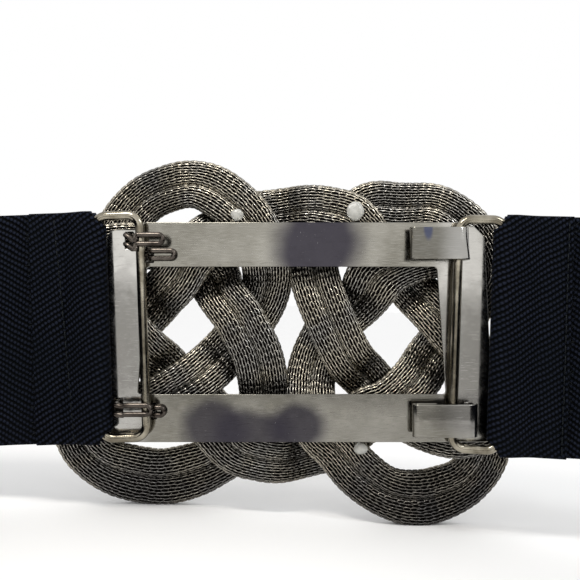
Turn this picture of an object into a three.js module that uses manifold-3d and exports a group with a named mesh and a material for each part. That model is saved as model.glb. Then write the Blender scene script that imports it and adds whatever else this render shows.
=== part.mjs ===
// Elastic stretch belt, a closed loop that stands on its edge. Millimetres, +Z up, buckle's front towards -Y.
// A wide elastic band ends in two eyes, each sewn round a wire ring. Two wire staples pin one ring to a stamped
// back plate and the plate's two hooks catch the other. The plate carries a knot of doubled mesh tubes.
import * as THREE from "three";
import { mergeVertices } from "three/addons/utils/BufferGeometryUtils.js";
import Module from "manifold-3d";

// Fits
const gap = 0.3;
const weaveClearance = 0.2;

// Elastic band
const bandWidth = 60;
const bandThickness = 1.6;
const beltLength = 780;
const flapLength = 16.8;
const flapDrop = 9;
const flapClearance = 0.25;
const eyeInset = 2.1;
const plainStretch = 4;
const frontHandle = 0.45;
const rearHandle = 0.58;
const loopSteps = 34;
const settleShare = 0.3;
const edgeShare = 0.8;
const halvings = 30;

// Knot of mesh tubes
const knotWidth = 136.6;
const knotHeight = 98.4;
const tubeWidth = 6.4;
const tubeThickness = 5;
const tubeSides = 8;
const tubeStep = 4.8;
const plateauSharpness = 3;
const curveSteps = 24;
const settlingPasses = 4;

// Back plate
const sheet = 0.9;
const plateWidth = 99.2;
const plateInset = 2.2;
const plateHeight = bandWidth - plateInset;
const plateRise = 3.1;
const plateAcross = 0.4;
const topStrip = 11.7;
const bottomStrip = 12.6;
const leftColumn = 10.5;
const shoulderDrop = 2;
const rightColumn = 12.5;
const windowTaper = 2.4;
const windowCorner = 1;
const windowSteps = 3;
const plateCorner = 2.8;
const plateFlare = 2.6;
const slotPlay = 0.4;

// Hooks
const hookWidth = 8.5;
const hookCorner = 2.2;
const hookSteps = 6;
const lipRadius = 1.3;
const lipLength = 6;

// Wire rings
const ringWire = 2.4;
const ringInset = 2.5;
const ringWidth = 11.75;
const ringCorner = 2.7;
const ringSteps = 5;
const leftRingInset = 10.15;
const leftRingRise = 1.8;
const rightRingInset = 8.3;
const rightRingRise = -0.2;
const wireSides = 8;

// Staples
const stapleWire = 1.4;
const stapleLength = 12;
const stapleBend = 1.1;
const bendSteps = 4;
const stapleSides = 6;
const stapleSteps = 32;
const capSteps = 4;
const loopHalf = 1.15;
const tailHalf = 1;

// Edges of the back plate, of which the right one is wider at its foot by the flare
const plateLeft = plateAcross - plateWidth / 2;
const plateRight = plateAcross + plateWidth / 2;
const plateTop = plateRise + plateHeight / 2;
const plateBottom = plateRise - plateHeight / 2;

// Beads of glue
const beadClearance = 0.5;
const beadSides = 10;
const beadRows = 6;

// Layers of the buckle, from the middle of the knot towards the wearer
const tubeLift = (tubeThickness + gap) / 2 + weaveClearance;
const knotCrest = tubeLift + tubeThickness / 2;
const stapleBack = knotCrest + gap + stapleWire / 2;
const plateBack = stapleBack + stapleWire / 2 + gap;
const plateFront = plateBack + sheet;
const plateMiddle = (plateBack + plateFront) / 2;
const stapleFront = plateFront + gap + stapleWire / 2;
const ringDepth = plateFront + gap + bandThickness + gap + ringWire / 2;
const stapleArm = ringDepth + ringWire / 2 + gap + stapleWire / 2;
const hookTop = ringDepth + ringWire / 2 + gap + sheet / 2;

// The two ends of the belt: hand is the side seen from inside the loop, inset how far the ring's inner bar
// stands inside the plate's edge, rise how far its middle stands above the plate's, lean and swing its turns in
// and out of the buckle's plane in degrees, and open how far its wire is spread, as a share of its height.
const ends = [
  { name: "left", hand: -1, inset: leftRingInset, rise: leftRingRise, lean: 2, swing: 0, open: 1 },
  { name: "right", hand: 1, inset: rightRingInset, rise: rightRingRise, lean: 1.9, swing: 8, open: 1.03 },
];

// Hooks: the strip that carries each and how far inside the strip's outer edge it stands, as a share of the
// strip; the ring bar's play beside the fold, as a share of its wire; the reach of the hook as a share of its
// width; and the tilt of its top in degrees.
const hooks = [
  { strip: "top", inset: 0.5, play: 0, reach: 1.66, tilt: 13 },
  { strip: "bottom", inset: 0.51, play: 1.67, reach: 1.89, tilt: 0 },
];

// Staples: the strip that carries each and how far inside its outer edge the arm stands, as a share of the
// strip; then shares of a staple's length: the drop of its tail, and the places along the plate, from the
// plate's left edge, of the arm's end, the fold, the second slot and the tail's end.
const staples = [
  { name: "staple_top", strip: "top", inset: 0.41, drop: 0.308, places: [1.196, 0.492, 0.933, 1.4] },
  { name: "staple_bottom", strip: "bottom", inset: 0.742, drop: 0.09, places: [0.938, 0.258, 1, 1.175] },
];

// Beads of glue: the edge of the plate that each lies beside, its place along it as a share of the half width
// of the tubes' middle line, and its length, width and height as shares of a tube's width.
const glueBeads = [
  { name: "glue_bead_1", edge: "top", across: 0.262, size: [0.72, 0.81, 0.42] },
  { name: "glue_bead_2", edge: "top", across: -0.245, size: [0.5, 0.53, 0.3] },
  { name: "glue_bead_3", edge: "bottom", across: 0.286, size: [0.56, 0.5, 0.33] },
];

// Crossings of the knot as shares of the half width and half height of the tubes' middle line.
const crossings = {
  top_left: [-0.208, 0.795],
  top_right: [0.248, 0.782],
  upper_left: [-0.46, 0.532],
  upper_right: [0.442, 0.487],
  left: [-0.73, 0.077],
  mid_left: [-0.217, 0.09],
  mid_right: [0.173, 0.096],
  right: [0.704, 0.058],
  lower_left: [-0.509, -0.301],
  lower_right: [0.416, -0.385],
  bottom_left: [-0.248, -0.673],
  bottom_right: [0.19, -0.66],
  lobe_high_left: [-0.801, 0.59],
  lobe_low_left: [-0.912, -0.353],
  lobe_high_right: [0.81, 0.596],
  lobe_low_right: [0.858, -0.5],
};

// The one closed strand, over and under in turn: each row is a crossing and the bends that follow it. A bend's
// third number is how far the two tubes spread there.
const strand = [
  ["right", [0.77, -0.064], [0.814, -0.244]],
  ["lobe_low_right", [0.85, -0.734], [0.765, -0.905], [0.635, -0.98, 1.1], [0.522, -0.987, 1.1],
    [0.403, -0.942], [0.283, -0.821]],
  ["bottom_right", [0.106, -0.532], [0.071, -0.34], [0.084, -0.167], [0.124, -0.019]],
  ["mid_right", [0.305, 0.262]],
  ["upper_right", [0.611, 0.554, 0.92]],
  ["lobe_high_right", [0.934, 0.577], [1.027, 0.397], [1.058, 0.141], [1.04, -0.179], [0.965, -0.385]],
  ["lobe_low_right", [0.735, -0.571], [0.602, -0.551], [0.504, -0.487]],
  ["lower_right", [0.319, -0.224], [0.248, -0.115]],
  ["mid_right", [0.106, 0.391], [0.088, 0.5], [0.133, 0.622]],
  ["top_right", [0.354, 0.876], [0.469, 0.868], [0.624, 0.85, 0.94], [0.743, 0.728]],
  ["lobe_high_right", [0.841, 0.449], [0.801, 0.282]],
  ["right", [0.65, -0.032], [0.518, -0.256]],
  ["lower_right", [0.336, -0.5]],
  ["bottom_right", [0.093, -0.718, 0.93], [-0.031, -0.75, 0.9], [-0.159, -0.724, 0.93]],
  ["bottom_left", [-0.389, -0.526]],
  ["lower_left", [-0.566, -0.186]],
  ["left", [-0.805, 0.237], [-0.823, 0.41]],
  ["lobe_high_left", [-0.756, 0.772], [-0.652, 0.929, 0.96], [-0.518, 0.994, 0.94], [-0.429, 1, 0.94],
    [-0.341, 0.955]],
  ["top_left", [-0.142, 0.622], [-0.124, 0.429], [-0.146, 0.288]],
  ["mid_left", [-0.301, -0.058], [-0.394, -0.186]],
  ["lower_left", [-0.637, -0.397], [-0.77, -0.442]],
  ["lobe_low_left", [-1.018, -0.199], [-1.053, 0.045], [-1.031, 0.321], [-0.938, 0.513]],
  ["lobe_high_left", [-0.637, 0.61, 0.92], [-0.549, 0.592]],
  ["upper_left", [-0.341, 0.321], [-0.248, 0.173]],
  ["mid_left", [-0.159, -0.083], [-0.133, -0.314], [-0.15, -0.5]],
  ["bottom_left", [-0.35, -0.776], [-0.46, -0.84, 1.1], [-0.593, -0.872, 1.12], [-0.726, -0.827, 1.1],
    [-0.841, -0.75], [-0.92, -0.628], [-0.947, -0.468]],
  ["lobe_low_left", [-0.836, -0.128]],
  ["left", [-0.597, 0.282], [-0.518, 0.397]],
  ["upper_left", [-0.363, 0.673]],
  ["top_left", [-0.071, 0.827], [0.062, 0.84], [0.168, 0.821]],
  ["top_right", [0.33, 0.66, 0.96]],
  ["upper_right", [0.5, 0.385, 0.95], [0.637, 0.167]],
];

const wasm = await Module();
wasm.setup();

const along = new THREE.Vector3(1, 0, 0);
const upward = new THREE.Vector3(0, 1, 0);
const toWearer = new THREE.Vector3(0, 0, 1);

// Closed polygon of an ellipse with the given full width and height.
function ellipse(width, height, sides) {
  return new THREE.EllipseCurve(0, 0, width / 2, height / 2).getPoints(sides).slice(0, sides);
}

// Rectangle of the given full width and height, anticlockwise.
function rectangle(width, height) {
  const x = width / 2;
  const y = height / 2;
  return [
    new THREE.Vector2(x, -y),
    new THREE.Vector2(x, y),
    new THREE.Vector2(-x, y),
    new THREE.Vector2(-x, -y),
  ];
}

// Stations along a line of points. Each has its centre and the two directions of the section, of which up is
// as near its hint as a section square to the line allows.
function stationsAlong(points, hints, closed) {
  const count = points.length;
  return points.map((centre, i) => {
    const before = points[closed ? (i + count - 1) % count : Math.max(i - 1, 0)];
    const after = points[closed ? (i + 1) % count : Math.min(i + 1, count - 1)];
    const forward = after.clone().sub(before).normalize();
    const side = hints[i].clone().cross(forward).normalize();
    const up = forward.clone().cross(side);
    return { centre, side, up };
  });
}

// Body swept through stations. sectionAt gives the section of a station, always with as many points.
function sweep(stations, sectionAt, closed) {
  const rings = stations.map(({ centre, side, up }, i) =>
    sectionAt(i).map((p) => centre.clone().addScaledVector(side, p.x).addScaledVector(up, p.y)),
  );
  const sides = rings[0].length;
  const indices = [];
  const spans = closed ? rings.length : rings.length - 1;
  for (let i = 0; i < spans; i++) {
    const here = i * sides;
    const next = ((i + 1) % rings.length) * sides;
    for (let k = 0; k < sides; k++) {
      const turn = (k + 1) % sides;
      indices.push(here + k, here + turn, next + turn, here + k, next + turn, next + k);
    }
  }
  if (!closed) {
    const last = (rings.length - 1) * sides;
    for (let k = 1; k < sides - 1; k++) {
      indices.push(0, k + 1, k, last, last + k, last + k + 1);
    }
  }
  const geometry = new THREE.BufferGeometry().setFromPoints(rings.flat());
  geometry.setIndex(indices);
  return geometry;
}

// Line through corners in a plane, each corner rounded.
function softened(corners, radii, steps) {
  const points = [corners[0]];
  for (let i = 1; i < corners.length - 1; i++) {
    const corner = corners[i];
    const start = corner.clone().lerp(corners[i - 1], radii[i - 1] / corner.distanceTo(corners[i - 1]));
    const end = corner.clone().lerp(corners[i + 1], radii[i - 1] / corner.distanceTo(corners[i + 1]));
    points.push(...new THREE.QuadraticBezierCurve(start, corner, end).getPoints(steps));
  }
  points.push(corners[corners.length - 1]);
  return points;
}

// Closed solid of a geometry, and the geometry of a solid.
function solidOf(geometry) {
  const bare = geometry.clone();
  bare.deleteAttribute("normal");
  bare.deleteAttribute("uv");
  const merged = mergeVertices(bare, 1e-4);
  return new wasm.Manifold(
    new wasm.Mesh({
      numProp: 3,
      vertProperties: new Float32Array(merged.attributes.position.array),
      triVerts: new Uint32Array(merged.index.array),
    }),
  );
}

function geometryOf(solid) {
  const { vertProperties, triVerts } = solid.getMesh();
  const geometry = new THREE.BufferGeometry();
  geometry.setAttribute("position", new THREE.BufferAttribute(vertProperties, 3));
  geometry.setIndex(new THREE.BufferAttribute(triVerts, 1));
  return geometry;
}

function piece(name, geometry, material) {
  const flat = geometry.index ? geometry.toNonIndexed() : geometry;
  flat.computeVertexNormals();
  const mesh = new THREE.Mesh(flat, new THREE.MeshStandardMaterial(material));
  mesh.name = name;
  return mesh;
}

const finishes = {
  mesh: { color: 0x45413a, roughness: 0.42, metalness: 0.9 },
  plate: { color: 0x9a948c, roughness: 0.25, metalness: 1 },
  ring: { color: 0x857c6c, roughness: 0.25, metalness: 1 },
  staple: { color: 0x4d4842, roughness: 0.35, metalness: 1 },
  elastic: { color: 0x14161d, roughness: 0.9, metalness: 0 },
  glue: { color: 0xd8d8d2, roughness: 0.3, metalness: 0 },
};

// Knot
const tubePitch = tubeWidth + gap;
const strandWidth = tubePitch + tubeWidth;
const strandHalfWidth = (knotWidth - strandWidth) / 2;
const strandHalfHeight = (knotHeight - strandWidth) / 2;

function strandPoint([x, y, spread = 1]) {
  return new THREE.Vector3(x * strandHalfWidth, y * strandHalfHeight, spread);
}

// Height of the strand between two crossings: level over each crossing and steep between them.
function plateau(share) {
  const wave = Math.cos(Math.PI * share);
  return Math.sign(wave) * (1 - (1 - Math.abs(wave)) ** plateauSharpness);
}

// Middle line of the strand: points in the knot's plane with the height of the weave, and the tubes' spread.
function strandLine() {
  const control = [];
  const crossingAt = [];
  for (const [name, ...bends] of strand) {
    crossingAt.push(control.length);
    control.push(strandPoint(crossings[name]), ...bends.map(strandPoint));
  }
  const curve = new THREE.CatmullRomCurve3(control, true, "centripetal");
  curve.arcLengthDivisions = control.length * curveSteps;
  const lengths = curve.getLengths();
  const total = curve.getLength();
  const marks = crossingAt.map((i) => lengths[i * curveSteps]);
  marks.push(total);
  const steps = Math.round(total / tubeStep);
  const line = [];
  for (let i = 0; i < steps; i++) {
    const distance = (total * i) / steps;
    const span = marks.findLastIndex((mark) => mark <= distance);
    const share = (distance - marks[span]) / (marks[span + 1] - marks[span]);
    const height = (span % 2 ? -1 : 1) * tubeLift * plateau(share);
    const at = curve.getPointAt(distance / total);
    line.push({ point: new THREE.Vector3(at.x, at.y, height), spread: at.z });
  }
  return line;
}

// One of the two tubes that lie side by side along the strand.
function knotTube(line, place) {
  const hints = line.map(() => toWearer);
  const middle = stationsAlong(line.map(({ point }) => point), hints, true);
  const points = middle.map(({ centre, side }, i) =>
    centre.clone().addScaledVector(side, (place * line[i].spread * tubePitch) / 2),
  );
  const sectionAt = (i) => ellipse(tubeWidth * line[i].spread, tubeThickness, tubeSides);
  return sweep(stationsAlong(points, hints, true), sectionAt, true);
}

// Ring frames, from the buckle's frame: x runs outwards from the inner bar, z towards the wearer.
const ringHeight = bandWidth - ringInset;

function innerBar({ hand, inset }) {
  return plateAcross + hand * (plateWidth / 2 - inset);
}

function ringFrame(end) {
  const turn = new THREE.Matrix4().makeRotationZ(THREE.MathUtils.degToRad(-end.hand * end.lean));
  const open = new THREE.Matrix4().makeRotationY(THREE.MathUtils.degToRad(-end.hand * end.swing));
  return new THREE.Matrix4()
    .makeTranslation(innerBar(end), plateRise + end.rise, ringDepth)
    .multiply(open)
    .multiply(turn);
}

function ringGeometry(end) {
  const half = (ringHeight * end.open) / 2;
  const far = ringWidth - ringCorner;
  const outline = new THREE.Path();
  outline.absarc(far, half - ringCorner, ringCorner, 0, Math.PI / 2);
  outline.absarc(ringCorner, half - ringCorner, ringCorner, Math.PI / 2, Math.PI);
  outline.absarc(ringCorner, ringCorner - half, ringCorner, Math.PI, (3 * Math.PI) / 2);
  outline.absarc(far, ringCorner - half, ringCorner, (3 * Math.PI) / 2, 2 * Math.PI);
  const points = outline.getPoints(ringSteps).map((p) => new THREE.Vector3(end.hand * p.x, p.y, 0));
  const round = ellipse(ringWire, ringWire, wireSides);
  const stations = stationsAlong(points, points.map(() => toWearer), true);
  return sweep(stations, () => round, true);
}

// Back plate
function plateOutline() {
  const shoulder = plateLeft + leftColumn - windowTaper;
  const chamfer = shoulderDrop / 2;
  const footRight = plateRight + plateFlare;
  const shape = new THREE.Shape();
  shape.moveTo(plateLeft + plateCorner, plateBottom);
  shape.lineTo(footRight - plateCorner, plateBottom);
  shape.quadraticCurveTo(footRight, plateBottom, footRight, plateBottom + plateCorner);
  shape.lineTo(plateRight, plateTop - plateCorner - chamfer);
  shape.lineTo(plateRight - plateCorner, plateTop - chamfer);
  shape.lineTo(plateRight - plateCorner - shoulderDrop, plateTop);
  shape.lineTo(shoulder + shoulderDrop, plateTop);
  shape.lineTo(shoulder, plateTop - shoulderDrop);
  shape.lineTo(plateLeft + plateCorner, plateTop - shoulderDrop);
  shape.quadraticCurveTo(plateLeft, plateTop - shoulderDrop, plateLeft, plateTop - shoulderDrop - plateCorner);
  shape.lineTo(plateLeft, plateBottom + plateCorner);
  shape.quadraticCurveTo(plateLeft, plateBottom, plateLeft + plateCorner, plateBottom);
  return shape;
}

// Window, a little wider at its foot, with rounded corners.
function windowHole() {
  const left = plateLeft + leftColumn;
  const right = plateRight - rightColumn;
  const high = plateTop - topStrip;
  const low = plateBottom + bottomStrip;
  const corners = [
    new THREE.Vector2(left, high),
    new THREE.Vector2(left - windowTaper, low),
    new THREE.Vector2(right + windowTaper, low),
    new THREE.Vector2(right, high),
  ];
  const start = corners[0].clone().lerp(corners[3], 0.5);
  const radii = corners.map(() => windowCorner);
  return new THREE.Path(softened([start, ...corners, start], radii, windowSteps));
}

function slotHole(across, rise, width, height) {
  return new THREE.Path(
    rectangle(width, height).map((p) => p.add(new THREE.Vector2(across, rise))),
  );
}

// Rise of a place at a share of a strip's height inside the strip's outer edge.
function stripRise({ strip, inset }) {
  return strip === "top" ? plateTop - inset * topStrip : plateBottom + inset * bottomStrip;
}

// Places of a staple in the buckle's frame.
function staplePlaces(staple) {
  const [arm, fold, slot, tail] = staple.places.map((share) => plateLeft + share * stapleLength);
  return { arm, fold, slot, tail, rise: stripRise(staple), drop: staple.drop * stapleLength };
}

// Share of a staple's drop and spread that is reached at a place between its fold and its second slot.
function stapleShare(places, across) {
  return THREE.MathUtils.clamp((across - places.fold) / (places.slot - places.fold), 0, 1);
}

function stapleSlots(staple) {
  const places = staplePlaces(staple);
  const width = stapleWire + 2 * slotPlay;
  return [places.fold, places.slot].map((across) => {
    const share = stapleShare(places, across);
    const half = THREE.MathUtils.lerp(loopHalf, tailHalf, share);
    return slotHole(across, places.rise - places.drop * share, width, 2 * half + width);
  });
}

// Where the inner bar of a ring stands at a given rise.
function barAcross(end, rise) {
  const lean = Math.tan(THREE.MathUtils.degToRad(end.lean));
  return innerBar(end) + (rise - plateRise - end.rise) * lean;
}

// A strip's end folded back over the ring's bar, with its lip curled under. A tilted hook's lower edge stands
// further out than its upper one.
function hookGeometry(hook) {
  const rise = stripRise(hook);
  const tilt = THREE.MathUtils.degToRad(hook.tilt);
  const top = hookTop + (hookWidth / 2) * Math.sin(tilt);
  const outer = barAcross(ends[1], rise) + hook.play * ringWire + ringWire / 2 + gap + sheet / 2;
  const tip = outer - hook.reach * hookWidth;
  const lip = top - 2 * lipRadius;
  const foldStart = outer - hookCorner - sheet;
  const corners = [
    new THREE.Vector2(foldStart, plateMiddle),
    new THREE.Vector2(outer, plateMiddle),
    new THREE.Vector2(outer, top),
    new THREE.Vector2(tip, top),
    new THREE.Vector2(tip, lip),
    new THREE.Vector2(tip + lipLength, lip),
  ];
  const line = softened(corners, [hookCorner, hookCorner, lipRadius, lipRadius], hookSteps);
  const points = line.map((p) => new THREE.Vector3(p.x, rise, p.y));
  const hints = line.map((_, i) => {
    const turn = tilt * THREE.MathUtils.smoothstep(i, 1, 2 * hookSteps + 2);
    return new THREE.Vector3(0, Math.cos(turn), -Math.sin(turn));
  });
  const strip = rectangle(sheet, hookWidth);
  return sweep(stationsAlong(points, hints, false), () => strip, false);
}

function plateGeometry() {
  const shape = plateOutline();
  shape.holes.push(windowHole(), ...staples.flatMap(stapleSlots));
  const flat = new THREE.ExtrudeGeometry(shape, { depth: sheet, bevelEnabled: false, curveSegments: 4 });
  flat.translate(0, 0, plateBack);
  let solid = solidOf(flat);
  for (const hook of hooks) {
    solid = solid.add(solidOf(hookGeometry(hook)));
  }
  return geometryOf(solid);
}

// Staple: one closed loop of wire, laid along a line that goes over the bar, down through the first slot,
// behind the plate, up through the second slot and out along the plate.
function stapleGeometry(staple) {
  const places = staplePlaces(staple);
  const corners = [
    new THREE.Vector2(places.arm, stapleArm),
    new THREE.Vector2(places.fold, stapleArm),
    new THREE.Vector2(places.fold, stapleBack),
    new THREE.Vector2(places.slot, stapleBack),
    new THREE.Vector2(places.slot, stapleFront),
    new THREE.Vector2(places.tail, stapleFront),
  ];
  const spine = new THREE.Path(softened(corners, corners.slice(2).map(() => stapleBend), bendSteps));
  const length = spine.getLength();
  const track = [];
  for (let i = 0; i <= stapleSteps; i++) {
    track.push({ run: i / stapleSteps, q: 1 });
  }
  const back = track.map(({ run }) => ({ run: 1 - run, q: -1 }));
  const points = [];
  const hints = [];
  const put = (run, q, overrun) => {
    const at = spine.getPointAt(run);
    const ahead = spine.getTangentAt(run);
    const passedFold = run * length > places.arm - places.fold;
    const share = passedFold ? stapleShare(places, at.x) : 0;
    const half = THREE.MathUtils.lerp(loopHalf, tailHalf, share);
    const rise = places.rise - places.drop * share + q * half;
    points.push(new THREE.Vector3(at.x + ahead.x * overrun * half, rise, at.y));
    hints.push(new THREE.Vector3(-ahead.y, 0, ahead.x));
  };
  const cap = (run, turn) => {
    for (let k = 1; k < capSteps; k++) {
      const angle = (Math.PI * k) / capSteps;
      put(run, turn * Math.cos(angle), Math.sin(angle) * (run ? 1 : -1));
    }
  };
  track.forEach(({ run, q }) => put(run, q, 0));
  cap(1, 1);
  back.forEach(({ run, q }) => put(run, q, 0));
  cap(0, -1);
  const round = ellipse(stapleWire, stapleWire, stapleSides);
  return sweep(stationsAlong(points, hints, true), () => round, true);
}

// Elastic band
const eyeRadius = ringWire / 2 + gap + bandThickness / 2;
const flapRest = bandThickness + flapClearance - eyeRadius;

// Where the band's sections stand: shares of the flap's length from its edge to the bar and on along the main
// layer, and the turns round the bar in degrees. The gathers fade away from the bar's innermost side.
const flapSteps = [1, 0.8, 0.6, flapDrop / flapLength, 0.4, 0.3, 0.2, 0.12, 0.05];
const eyeTurns = [90, 68, 45, 15, -15, -45, -68, -90];
const mainSteps = [0.12, 0.2, 0.4, 0.7, 1];
const gatherPower = 2.2;

// Line of the band's end in its ring's frame, from the flap's edge round the bar to the main layer. share is
// how much of the way from the gathered width at the bar to the full width each point has reached.
function endLine(end) {
  const fullWidth = bandWidth * end.open;
  const eyeWidth = (ringHeight - 2 * eyeInset) * end.open;
  const rows = [];
  const put = (out, depth, share) => {
    const width = THREE.MathUtils.lerp(eyeWidth, fullWidth, share);
    rows.push({ point: new THREE.Vector3(end.hand * out, 0, depth), width });
  };
  const openShare = (out) => {
    const opened = THREE.MathUtils.smoothstep(out, 0, flapDrop / 3);
    return THREE.MathUtils.lerp(edgeShare, 1, opened);
  };
  for (const step of flapSteps) {
    const out = step * flapLength;
    const drop = THREE.MathUtils.smoothstep(out, 0, flapDrop);
    put(ringWidth + out, THREE.MathUtils.lerp(eyeRadius, flapRest, drop), openShare(out));
  }
  for (const degrees of eyeTurns) {
    const turn = THREE.MathUtils.degToRad(degrees);
    const share = edgeShare * Math.abs(Math.sin(turn / 2) * Math.SQRT2) ** gatherPower;
    put(ringWidth - eyeRadius * Math.cos(turn), eyeRadius * Math.sin(turn), share);
  }
  for (const step of mainSteps) {
    put(ringWidth + step * flapLength, -eyeRadius, openShare(step * flapLength));
  }
  put(ringWidth + flapLength + plainStretch, -eyeRadius, 1);
  return rows;
}

// The two ends in the belt's frame, each with the direction in which it leaves the buckle.
function placedEnds(buckleFrame) {
  return ends.map((end) => {
    const frame = buckleFrame.clone().multiply(ringFrame(end));
    const rows = endLine(end).map(({ point, width }) => ({ point: point.applyMatrix4(frame), width }));
    const leave = along.clone().multiplyScalar(end.hand).transformDirection(frame);
    const across = upward.clone().transformDirection(frame);
    return { rows, leave, across, fullWidth: bandWidth * end.open, last: rows[rows.length - 1].point };
  });
}

// Half of the loop, from a placed end round to the middle of the back.
function halfLoop({ last, leave }, depth) {
  const rear = new THREE.Vector3(0, last.y + depth, bandWidth / 2);
  return new THREE.CubicBezierCurve3(
    last,
    last.clone().addScaledVector(leave, depth * frontHandle),
    rear.clone().addScaledVector(along, Math.sign(last.x) * depth * rearHandle),
    rear,
  );
}

// Depth of the loop at which the whole belt has its length, found by halving.
function loopDepth(placed) {
  const front = placed[0].last.distanceTo(placed[1].last);
  let low = 0;
  let high = beltLength / 2;
  for (let pass = 0; pass < halvings; pass++) {
    const middle = (low + high) / 2;
    const round = front + halfLoop(placed[0], middle).getLength() + halfLoop(placed[1], middle).getLength();
    if (round < beltLength) {
      low = middle;
    } else {
      high = middle;
    }
  }
  return low;
}

function bandGeometry(buckleFrame) {
  const placed = placedEnds(buckleFrame);
  const depth = loopDepth(placed);
  const rearY = (placed[0].last.y + placed[1].last.y) / 2 + depth;
  const halves = placed.map((end) => {
    const curve = halfLoop(end, rearY - end.last.y);
    const points = curve.getSpacedPoints(loopSteps);
    const loop = points.slice(1).map((point, i) => {
      const settle = THREE.MathUtils.smoothstep((i + 1) / loopSteps, 0, settleShare);
      const width = THREE.MathUtils.lerp(end.fullWidth, bandWidth, settle);
      const across = end.across.clone().lerp(new THREE.Vector3(0, 0, 1), settle).normalize();
      return { point, width, across };
    });
    return [...end.rows.map((row) => ({ ...row, across: end.across })), ...loop];
  });
  const rows = [...halves[0], ...halves[1].slice(0, -1).reverse()];
  const stations = stationsAlong(rows.map(({ point }) => point), rows.map(({ across }) => across), false);
  const sectionAt = (i) => rectangle(bandThickness, rows[i].width);
  return sweep(stations, sectionAt, false);
}

// Beads of glue on the tubes beside the plate's edge
function glueGeometry({ edge, across, size }) {
  const [length, width, height] = size.map((share) => share * tubeWidth);
  const off = beadClearance + width / 2;
  const rise = edge === "top" ? plateTop + off : plateBottom - off;
  const ball = new THREE.SphereGeometry(0.5, beadSides, beadRows);
  ball.scale(length, width, height);
  ball.translate(across * strandHalfWidth, rise, knotCrest + gap + height / 2);
  return ball;
}

// Turn of the buckle in its own plane that sets the knot's two lower lobes level, so that both touch the floor.
function restingTurn(points) {
  let turn = 0;
  for (let pass = 0; pass < settlingPasses; pass++) {
    const [left, right] = [-1, 1].map((hand) => {
      const height = (p) => p.x * Math.sin(turn) + p.y * Math.cos(turn);
      return points
        .filter((p) => p.x * hand > 0)
        .reduce((lowest, p) => (height(p) < height(lowest) ? p : lowest));
    });
    turn = Math.atan2(left.y - right.y, right.x - left.x);
  }
  return turn;
}

function pointsOf(geometry) {
  const { position } = geometry.attributes;
  return Array.from({ length: position.count }, (_, i) => new THREE.Vector3().fromBufferAttribute(position, i));
}

// Assembly: the buckle's frame has x to the right and y up, as seen from inside the loop, and z to the wearer.
const line = strandLine();
const tubes = { knot_tube_a: knotTube(line, 1), knot_tube_b: knotTube(line, -1) };
const knotPoints = Object.values(tubes).flatMap(pointsOf);
const facing = new THREE.Matrix4().makeBasis(along.clone().negate(), toWearer, upward);
const buckleFrame = facing.multiply(new THREE.Matrix4().makeRotationZ(restingTurn(knotPoints)));
const lowest = Math.min(...knotPoints.map((p) => p.clone().applyMatrix4(buckleFrame).z));
buckleFrame.premultiply(new THREE.Matrix4().makeTranslation(0, 0, -lowest));

const buckle = new THREE.Group();
buckle.applyMatrix4(buckleFrame);
for (const [name, geometry] of Object.entries(tubes)) {
  buckle.add(piece(name, geometry, finishes.mesh));
}
buckle.add(piece("back_plate", plateGeometry(), finishes.plate));
for (const staple of staples) {
  buckle.add(piece(staple.name, stapleGeometry(staple), finishes.staple));
}
for (const end of ends) {
  const ring = piece("ring_" + end.name, ringGeometry(end), finishes.ring);
  ring.applyMatrix4(ringFrame(end));
  buckle.add(ring);
}
for (const bead of glueBeads) {
  buckle.add(piece(bead.name, glueGeometry(bead), finishes.glue));
}

const belt = new THREE.Group();
belt.add(buckle, piece("elastic_band", bandGeometry(buckleFrame), finishes.elastic));

// The origin is under the middle of the belt, on the surface that it stands on.
const box = new THREE.Box3().setFromObject(belt, true);
const centre = box.getCenter(new THREE.Vector3());
for (const child of belt.children) {
  child.position.sub(new THREE.Vector3(centre.x, centre.y, box.min.z));
}

export default belt;
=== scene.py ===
"""Looks of the elastic stretch belt: knitted wire tubes, plated metal, woven elastic, thread and glue.

Shapes are worked out in the buckle's frame in millimetres: x to the right and y up as seen from inside the
loop, z towards the wearer. mesh_piece() takes them to the row frame in metres.
"""

import math

import bpy
import numpy as np
from mathutils import Matrix, Vector, noise


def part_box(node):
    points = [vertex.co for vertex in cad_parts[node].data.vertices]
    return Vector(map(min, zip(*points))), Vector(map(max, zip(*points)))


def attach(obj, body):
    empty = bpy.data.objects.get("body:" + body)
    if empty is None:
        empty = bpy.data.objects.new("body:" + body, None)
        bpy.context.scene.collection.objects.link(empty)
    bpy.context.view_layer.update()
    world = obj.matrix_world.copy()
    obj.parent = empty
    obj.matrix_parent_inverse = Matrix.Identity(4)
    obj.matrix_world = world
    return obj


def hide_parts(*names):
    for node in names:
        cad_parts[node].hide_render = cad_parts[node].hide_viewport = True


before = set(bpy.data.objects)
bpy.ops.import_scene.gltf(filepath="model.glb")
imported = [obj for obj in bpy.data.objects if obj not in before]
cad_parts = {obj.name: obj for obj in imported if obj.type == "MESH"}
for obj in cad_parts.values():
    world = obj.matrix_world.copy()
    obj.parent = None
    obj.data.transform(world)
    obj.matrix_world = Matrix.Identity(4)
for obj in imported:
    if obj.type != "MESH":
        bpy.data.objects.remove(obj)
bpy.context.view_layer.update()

MM = 0.001

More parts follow.
